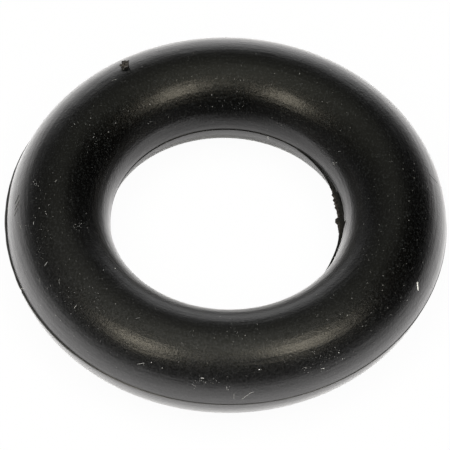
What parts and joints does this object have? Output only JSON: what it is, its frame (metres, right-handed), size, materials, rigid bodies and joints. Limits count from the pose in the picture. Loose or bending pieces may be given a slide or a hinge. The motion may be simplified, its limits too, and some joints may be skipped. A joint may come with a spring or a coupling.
{
  "type": "exhaust hanger",
  "caption": "Solid rubber exhaust hanger ring of round section with mould flash at its mid-plane, slipped over hooks to carry an exhaust pipe.",
  "frame": {"origin": "centre of the ring, in the mould's parting plane and on the bore's axis", "axes": "+Z along the ring's axis, towards the half with the gate vestige; +X towards the torn stretch of the inner flash"},
  "size_m": [0.0604, 0.0604, 0.0142],
  "materials": {
    "moulded_rubber": "black cured rubber with a dull sheen from a ground mould, light scuffs and pale dust"
  },
  "bodies": {
    "root": {"hanger_ring": "moulded_rubber"}
  },
  "joints": []
}
